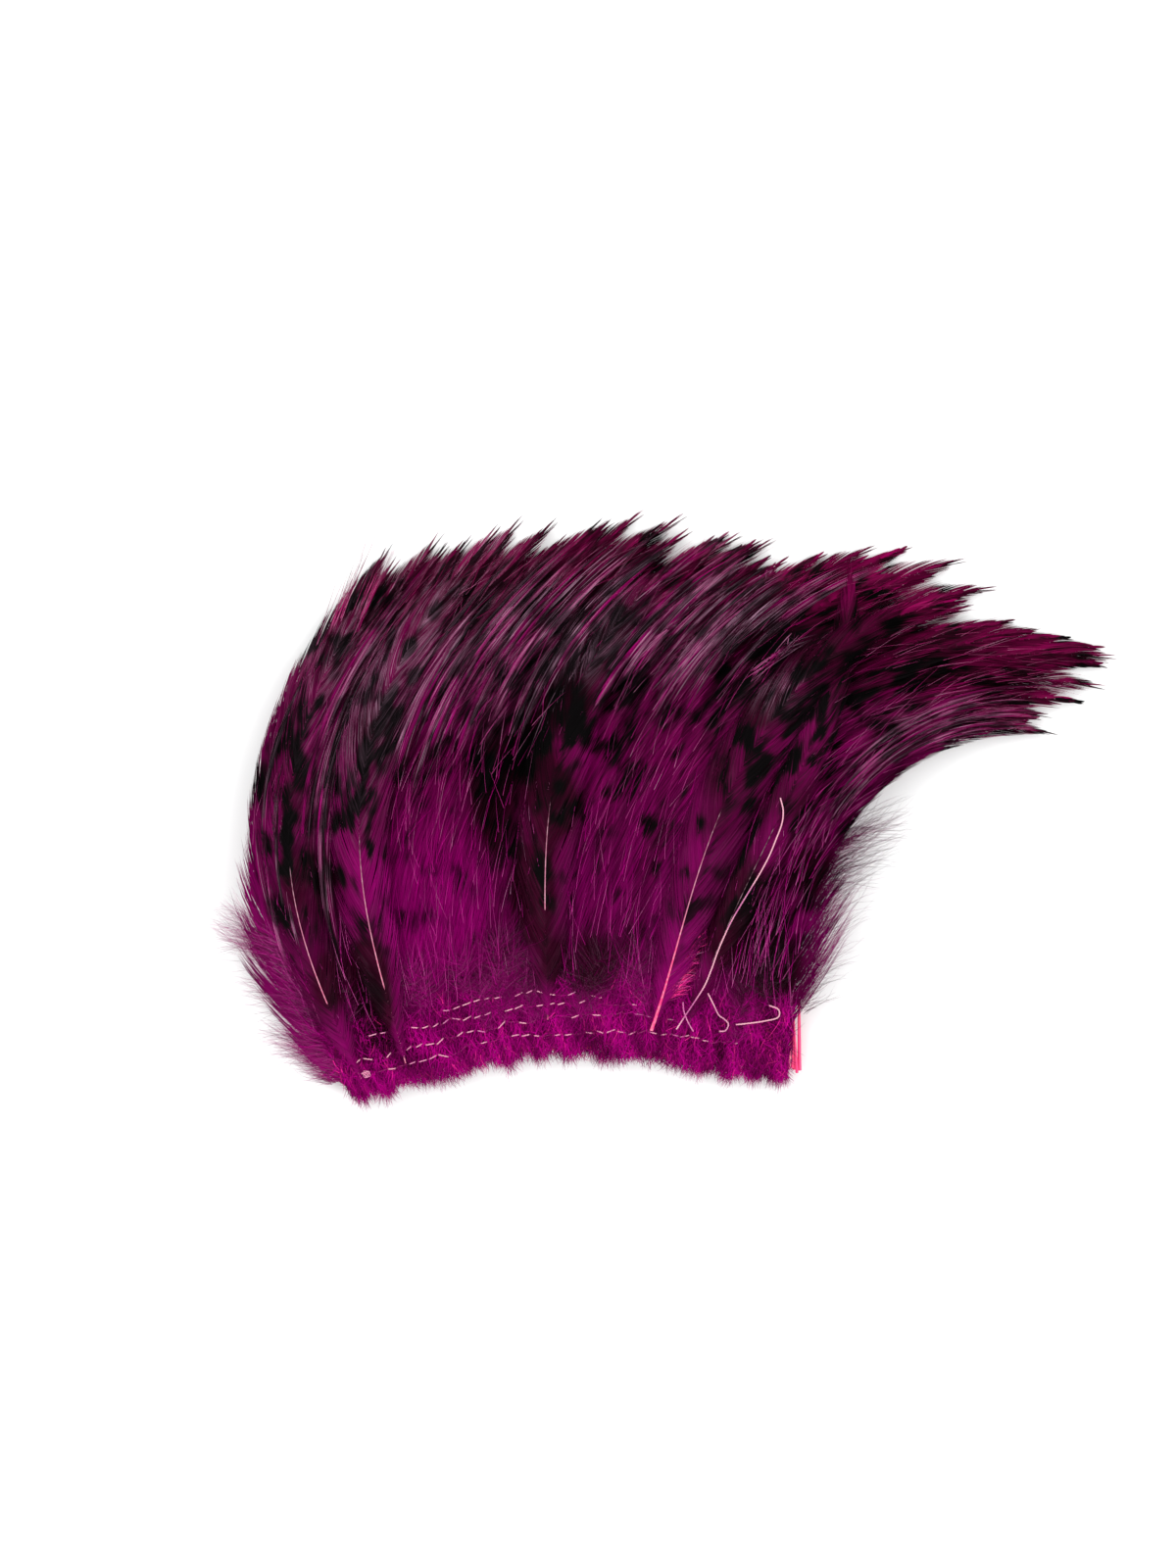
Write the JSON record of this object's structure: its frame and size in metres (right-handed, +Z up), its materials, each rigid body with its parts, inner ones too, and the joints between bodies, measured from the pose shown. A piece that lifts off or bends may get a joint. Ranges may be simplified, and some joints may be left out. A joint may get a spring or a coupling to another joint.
{
  "type": "strung rooster feather strip",
  "caption": "Strip of dyed, barred saddle feathers sewn side by side on thread, tips swept to one side, for trimming and craft work.",
  "frame": {"origin": "middle of the sewn band, on the flat underside of the middle row of back stitching", "axes": "+X along the sewn band, towards the side that the tips sweep to; +Y from the band towards the tips; +Z up, away from the surface that the strip lies on"},
  "size_m": [0.1888, 0.126, 0.0156],
  "materials": {
    "dyed_feather": "satin barbs, dyed magenta and purple over dark bars",
    "dyed_quill": "smooth horn, dyed hot pink",
    "sewing_thread": "spun thread, pale pink"
  },
  "bodies": {
    "root": {"feather_01": "dyed_feather", "feather_02": "dyed_feather", "feather_03": "dyed_feather", "feather_04": "dyed_feather", "feather_05": "dyed_feather", "feather_06": "dyed_feather", "feather_07": "dyed_feather", "feather_08": "dyed_feather", "feather_09": "dyed_feather", "feather_10": "dyed_feather", "feather_11": "dyed_feather", "feather_12": "dyed_feather", "feather_13": "dyed_feather", "feather_14": "dyed_feather", "feather_15": "dyed_feather", "feather_16": "dyed_feather", "feather_17": "dyed_feather", "feather_18": "dyed_feather", "feather_19": "dyed_feather", "feather_20": "dyed_feather", "feather_21": "dyed_feather", "feather_22": "dyed_feather", "feather_23": "dyed_feather", "feather_24": "dyed_feather", "feather_25": "dyed_feather", "feather_26": "dyed_feather", "feather_27": "dyed_feather", "feather_28": "dyed_feather", "feather_29": "dyed_feather", "feather_30": "dyed_feather", "feather_31": "dyed_feather", "feather_32": "dyed_feather", "feather_33": "dyed_feather", "feather_34": "dyed_feather", "feather_35": "dyed_feather", "feather_36": "dyed_feather", "feather_37": "dyed_feather", "feather_38": "dyed_feather", "feather_39": "dyed_feather", "feather_40": "dyed_feather", "feather_41": "dyed_feather", "cover_feather_1": "dyed_feather", "cover_feather_2": "dyed_feather", "cover_feather_3": "dyed_feather", "cover_feather_4": "dyed_feather", "cover_feather_5": "dyed_feather", "bare_quill_1": "dyed_quill", "bare_quill_2": "dyed_quill", "front_row_top": "sewing_thread", "front_row_upper": "sewing_thread", "front_row_main": "sewing_thread", "front_row_lower": "sewing_thread", "back_row_upper": "sewing_thread", "back_row_main": "sewing_thread", "back_row_lower": "sewing_thread", "thread_end_hook": "sewing_thread", "thread_end_catch": "sewing_thread", "loose_thread": "sewing_thread"}
  },
  "joints": []
}
